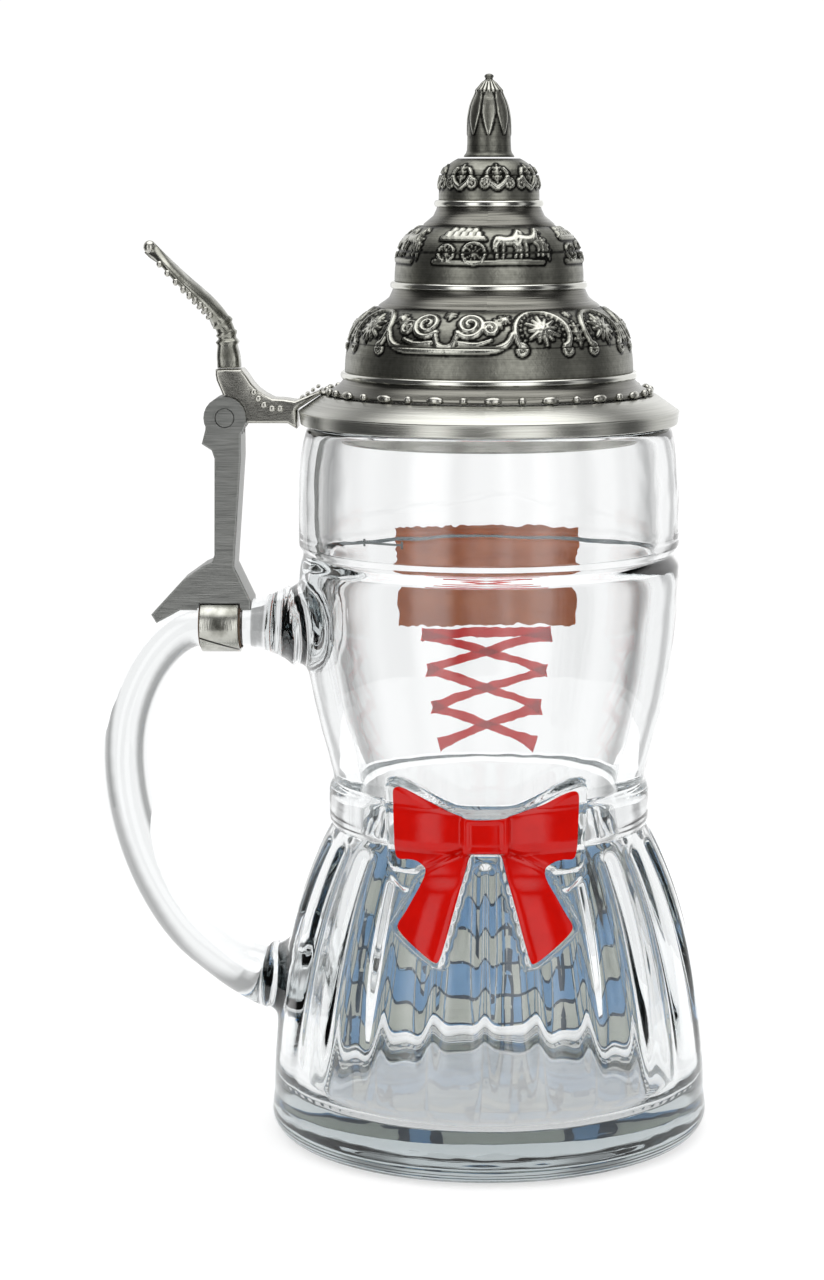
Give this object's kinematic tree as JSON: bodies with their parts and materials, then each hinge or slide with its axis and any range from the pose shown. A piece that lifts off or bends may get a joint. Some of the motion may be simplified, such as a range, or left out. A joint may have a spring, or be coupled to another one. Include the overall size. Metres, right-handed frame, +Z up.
{
  "type": "lidded beer stein",
  "caption": "Pleated dress-shaped glass mug with a moulded bow and loop handle, and a tiered metal lid that swings on a hinge post strapped to the handle.",
  "frame": {"origin": "centre of the mug's flat underside, where it stands on the table", "axes": "+Z up along the mug's axis, -X towards the handle and the hinge, -Y towards the moulded bow on the front"},
  "size_m": [0.1369, 0.0992, 0.2374],
  "materials": {
    "clear_glass": "polished",
    "red_enamel": "glossy fired enamel",
    "skin_print": "fired print",
    "red_print": "fired print",
    "check_print": "fired print",
    "lining": "matte",
    "bright_pewter": "satin",
    "filed_pewter": "satin",
    "antiqued_pewter": "satin",
    "pin_steel": "satin"
  },
  "bodies": {
    "mug": {"glass_mug": "clear_glass", "bow_enamel": "red_enamel", "neckline_print": "skin_print", "lacing_print": "red_print", "skirt_print": "check_print", "handle_liner": "lining", "handle_strap": "bright_pewter", "hinge_post": "filed_pewter", "hinge_pin": "pin_steel", "hinge_plug_front": "filed_pewter", "hinge_plug_rear": "filed_pewter"},
    "lid": {"lid_arm": "bright_pewter", "thumblift": "bright_pewter", "lid_flange": "bright_pewter", "lid_dome": "antiqued_pewter", "lid_finial": "antiqued_pewter"}
  },
  "joints": [
    {"name": "lid_hinge", "type": "hinge", "parent": "mug", "child": "lid", "pos_m": [-0.0584, 0, 0.1622], "axis": [0, -1, 0], "range_deg": [0, 100]}
  ]
}
